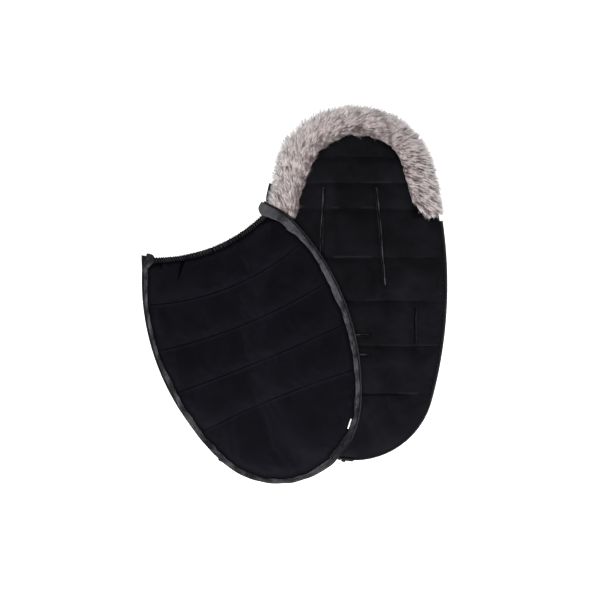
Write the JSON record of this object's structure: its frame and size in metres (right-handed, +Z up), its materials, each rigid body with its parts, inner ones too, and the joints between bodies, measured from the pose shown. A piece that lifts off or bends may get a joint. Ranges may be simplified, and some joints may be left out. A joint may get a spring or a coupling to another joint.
{
  "type": "stroller footmuff",
  "caption": "Quilted stroller footmuff laid open, with fur-trimmed fold-up hood, harness slots and a zip-off front cover lying turned beside the back.",
  "frame": {"origin": "on the underside, on the back panel's centre line at half its length", "axes": "+X to the right of the open muff seen from above, +Y towards the hood, +Z up"},
  "size_m": [0.859, 1.0491, 0.047],
  "materials": {
    "outer_cloth": "matte",
    "plush_lining": "matte",
    "wadding": "matte",
    "fur": "matte",
    "band": "matte",
    "zip_tape": "matte",
    "zip_chain": "satin",
    "zip_metal": "satin",
    "binding": "satin",
    "elastic": "matte",
    "grip": "matte",
    "tag": "matte"
  },
  "bodies": {
    "back": {"back_shell": "outer_cloth", "back_wadding_shoulder_left": "wadding", "back_wadding_shoulder_middle": "wadding", "back_wadding_shoulder_right": "wadding", "back_wadding_lap": "wadding", "back_wadding_hip_left": "wadding", "back_wadding_hip_right": "wadding", "back_wadding_seat_upper": "wadding", "back_wadding_seat_left": "wadding", "back_wadding_seat_right": "wadding", "back_wadding_seat_middle": "wadding", "back_wadding_foot": "wadding", "back_lining": "plush_lining", "grip_patch_upper": "grip", "grip_patch_lower": "grip", "shoulder_slot_left_binding": "binding", "shoulder_slot_right_binding": "binding", "waist_slot_left_binding": "binding", "waist_slot_right_binding": "binding", "crotch_slot_upper_binding": "binding", "crotch_slot_lower_binding": "binding", "back_zip_tape_left": "zip_tape", "back_zip_tape_right": "zip_tape", "back_zip_chain_left": "zip_chain", "back_zip_chain_right": "zip_chain", "back_zip_box_right": "zip_metal", "back_zip_pin_left": "zip_metal", "fur_left": "fur", "fur_right": "fur"},
    "hood": {"hood_shell": "outer_cloth", "hood_wadding": "wadding", "hood_lining": "plush_lining", "fur_hood": "fur"},
    "cover": {"cover_shell": "outer_cloth", "cover_wadding": "wadding", "cover_lining": "plush_lining", "cover_band": "band", "hem_casing": "outer_cloth", "hem_elastic": "elastic", "cover_zip_tape_left": "zip_tape", "cover_zip_tape_right": "zip_tape", "cover_zip_chain_left": "zip_chain", "cover_zip_chain_right": "zip_chain", "cover_zip_box_left": "zip_metal", "cover_zip_pin_right": "zip_metal", "side_tag": "tag"},
    "right_slider": {"right_slider": "zip_metal"},
    "right_pull": {"right_pull": "zip_metal"},
    "left_slider": {"left_slider": "zip_metal"},
    "left_pull": {"left_pull": "zip_metal"}
  },
  "joints": [
    {"name": "hood_raise", "type": "hinge", "parent": "back", "child": "hood", "pos_m": [0, 0.28215, 0.01335], "axis": [1, 0, 0], "range_deg": [0, 60]},
    {"name": "cover_lift", "type": "slide", "parent": "back", "child": "cover", "axis": [0, 0, 1], "range_m": [0, 0.25]},
    {"name": "right_slider_travel", "type": "hinge", "parent": "back", "child": "right_slider", "pos_m": [0, -0.268, 0], "axis": [0, 0, 1], "range_deg": [0, 65]},
    {"name": "right_pull_flip", "type": "hinge", "parent": "right_slider", "child": "right_pull", "pos_m": [-0.02916, -0.4911, 0.0082], "axis": [-0.1296, -0.9916, 0], "range_deg": [0, 100]},
    {"name": "left_slider_travel", "type": "hinge", "parent": "cover", "child": "left_slider", "pos_m": [0.0841, 0.01174, 0], "axis": [0, 0, -1], "range_deg": [0, 48]},
    {"name": "left_pull_flip", "type": "hinge", "parent": "left_slider", "child": "left_pull", "pos_m": [-0.37191, -0.49027, 0.0076], "axis": [0.6724, 0.7402, 0], "range_deg": [0, 170]}
  ]
}
